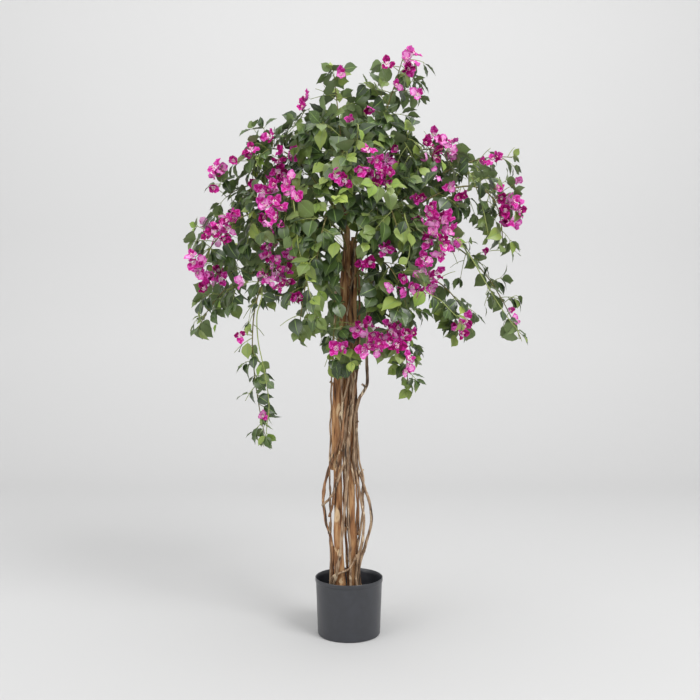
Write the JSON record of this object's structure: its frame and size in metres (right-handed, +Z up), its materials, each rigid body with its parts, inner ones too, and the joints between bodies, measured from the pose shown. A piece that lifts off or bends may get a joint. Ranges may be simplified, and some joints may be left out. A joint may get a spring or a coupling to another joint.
{
  "type": "artificial bougainvillea tree",
  "caption": "Potted artificial bougainvillea tree: bundled wood stems wound with lianas, an open crown of leafy sprays and magenta blossom, in a round nursery pot.",
  "frame": {"origin": "centre of the pot's flat underside", "axes": "+Z up along the stems, +X to the plant's right, -Y out of its front"},
  "size_m": [0.8898, 0.6546, 1.4814],
  "materials": {
    "pot_plastic": "satin",
    "pot_fill": "matte",
    "stem_wood": "matte",
    "liana_wood": "matte",
    "green_stem": "satin",
    "leaf": "satin",
    "bract": "matte",
    "bloom_tube": "matte"
  },
  "bodies": {
    "root": {"bough_back_left": "green_stem", "bough_back_right": "green_stem", "bough_left_back": "green_stem", "bough_left_far": "green_stem", "bough_left_front": "green_stem", "bough_left_high": "green_stem", "bough_left_low": "green_stem", "bough_left_tassel": "green_stem", "bough_right_far": "green_stem", "bough_right_front": "green_stem", "bough_right_hanging": "green_stem", "bough_right_high": "green_stem", "bough_right_low": "green_stem", "bough_right_tassel": "green_stem", "branch_right": "liana_wood", "liana_back": "liana_wood", "liana_cross_high": "liana_wood", "liana_cross_low": "liana_wood", "liana_foot": "liana_wood", "liana_front": "liana_wood", "liana_left_inner": "liana_wood", "liana_left_outer": "liana_wood", "liana_right_inner": "liana_wood", "liana_right_middle": "liana_wood", "liana_right_outer": "liana_wood", "liana_right_thin": "liana_wood", "pot": "pot_plastic", "pot_fill": "pot_fill", "spray_back_left": "leaf", "spray_back_low": "leaf", "spray_back_right": "leaf", "spray_front_left": "leaf", "spray_front_right": "leaf", "spray_front_right_low": "leaf", "spray_inner_left": "leaf", "spray_inner_left_low": "leaf", "spray_left_back": "leaf", "spray_left_far": "leaf", "spray_left_front": "leaf", "spray_left_high": "leaf", "spray_left_low": "leaf", "spray_left_tassel": "leaf", "spray_low_front": "leaf", "spray_low_left": "leaf", "spray_low_tail": "leaf", "spray_right_far": "leaf", "spray_right_front": "leaf", "spray_right_hanging": "leaf", "spray_right_high": "leaf", "spray_right_low": "leaf", "spray_right_tassel": "leaf", "spray_spire_left": "leaf", "spray_spire_right": "leaf", "spray_upper_back": "leaf", "spray_upper_front": "leaf", "spray_upper_left": "leaf", "spray_upper_right": "leaf", "stem_left": "stem_wood", "stem_right": "stem_wood"}
  },
  "joints": []
}
